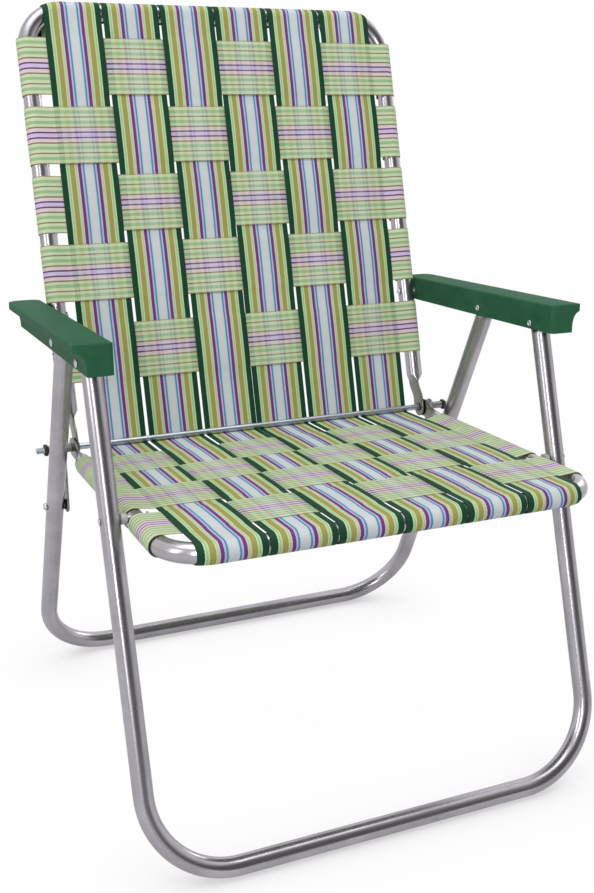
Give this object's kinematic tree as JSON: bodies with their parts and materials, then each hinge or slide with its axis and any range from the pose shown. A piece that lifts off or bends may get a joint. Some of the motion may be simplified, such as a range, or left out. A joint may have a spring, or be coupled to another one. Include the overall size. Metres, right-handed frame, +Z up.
{
  "type": "folding lawn chair",
  "caption": "Folding lawn chair with bent aluminium tube frames, woven webbing seat and back, and moulded green armrests.",
  "frame": {"origin": "on the floor, under the middle of the open chair", "axes": "+Z up, the sitter faces -Y, +X to the right as seen from the front"},
  "size_m": [0.6198, 0.6439, 0.8857],
  "materials": {
    "frame_aluminium": "polished tube with light handling marks",
    "rod_steel": "plain bright steel",
    "black_fittings": "matt black",
    "arm_plastic": "semi-gloss moulded",
    "web_striped": "woven plastic webbing with lengthwise stripes of green, gold, purple and white",
    "web_pale": "woven plastic webbing, pale yellow-green with thin brown and purple stripes"
  },
  "bodies": {
    "rear_legs": {"rear_leg_frame": "frame_aluminium", "link_pin_left": "frame_aluminium", "link_pin_right": "frame_aluminium", "link_bush_left": "black_fittings", "link_bush_right": "black_fittings"},
    "link_left": {"hinge_link_left": "frame_aluminium"},
    "link_right": {"hinge_link_right": "frame_aluminium"},
    "seat": {"seat_frame": "frame_aluminium", "hinge_rod": "rod_steel", "rod_washer_left": "black_fittings", "rod_washer_right": "black_fittings", "rod_spacer_left": "black_fittings", "rod_spacer_right": "black_fittings", "rod_sleeve_left": "frame_aluminium", "rod_sleeve_right": "frame_aluminium", "rod_nut_left": "black_fittings", "rod_nut_right": "black_fittings", "seat_rivet_left": "frame_aluminium", "seat_rivet_right": "frame_aluminium", "seat_spacer_left": "black_fittings", "seat_spacer_right": "black_fittings", "seat_strap_1": "web_striped", "seat_strap_2": "web_striped", "seat_strap_3": "web_striped", "seat_strap_4": "web_striped", "seat_strap_5": "web_striped", "seat_strap_6": "web_striped", "seat_band_1": "web_pale", "seat_band_2": "web_pale", "seat_band_3": "web_pale", "seat_band_4": "web_pale"},
    "back": {"back_frame": "frame_aluminium", "back_rivet_left": "frame_aluminium", "back_rivet_right": "frame_aluminium", "back_strap_1": "web_striped", "back_strap_2": "web_striped", "back_strap_3": "web_striped", "back_strap_4": "web_striped", "back_strap_5": "web_striped", "back_strap_6": "web_striped", "back_band_1": "web_pale", "back_band_2": "web_pale", "back_band_3": "web_pale", "back_band_4": "web_pale", "back_band_5": "web_pale"},
    "front_legs": {"front_leg_frame": "frame_aluminium"},
    "armrest_left": {"armrest_left": "arm_plastic", "arm_front_rivet_left": "frame_aluminium", "arm_rear_rivet_outer_left": "frame_aluminium", "arm_rear_rivet_inner_left": "frame_aluminium"},
    "armrest_right": {"armrest_right": "arm_plastic", "arm_front_rivet_right": "frame_aluminium", "arm_rear_rivet_outer_right": "frame_aluminium", "arm_rear_rivet_inner_right": "frame_aluminium"}
  },
  "joints": [
    {"name": "fold", "type": "hinge", "parent": "rear_legs", "child": "link_left", "pos_m": [-0.267, 0.10654, 0.2803], "axis": [-1, 0, 0], "range_deg": [0, 135.8]},
    {"name": "link_right_turn", "type": "hinge", "parent": "rear_legs", "child": "link_right", "pos_m": [0.267, 0.10654, 0.2803], "axis": [-1, 0, 0], "range_deg": [0, 135.8]},
    {"name": "seat_turn", "type": "hinge", "parent": "link_left", "child": "seat", "pos_m": [0, 0.114, 0.354], "axis": [1, 0, 0], "range_deg": [0, 81.7]},
    {"name": "back_turn", "type": "hinge", "parent": "seat", "child": "back", "pos_m": [0, 0.114, 0.354], "axis": [1, 0, 0], "range_deg": [0, 93.1]},
    {"name": "front_leg_turn", "type": "hinge", "parent": "seat", "child": "front_legs", "pos_m": [0, -0.16905, 0.3753], "axis": [1, 0, 0], "range_deg": [0, 97.4]},
    {"name": "armrest_left_turn", "type": "hinge", "parent": "front_legs", "child": "armrest_left", "pos_m": [-0.282, -0.1082, 0.5316], "axis": [-1, 0, 0], "range_deg": [0, 94.2]},
    {"name": "armrest_right_turn", "type": "hinge", "parent": "front_legs", "child": "armrest_right", "pos_m": [0.282, -0.1082, 0.5316], "axis": [-1, 0, 0], "range_deg": [0, 94.2]}
  ],
  "couplings": [
    {"joint": "link_right_turn", "follows": "fold", "ratio": 1},
    {"joint": "seat_turn", "follows": "fold", "ratio": 0.6005},
    {"joint": "back_turn", "follows": "fold", "ratio": 0.6846},
    {"joint": "front_leg_turn", "follows": "fold", "ratio": 0.7161},
    {"joint": "armrest_left_turn", "follows": "fold", "ratio": 0.6928},
    {"joint": "armrest_right_turn", "follows": "fold", "ratio": 0.6928}
  ]
}
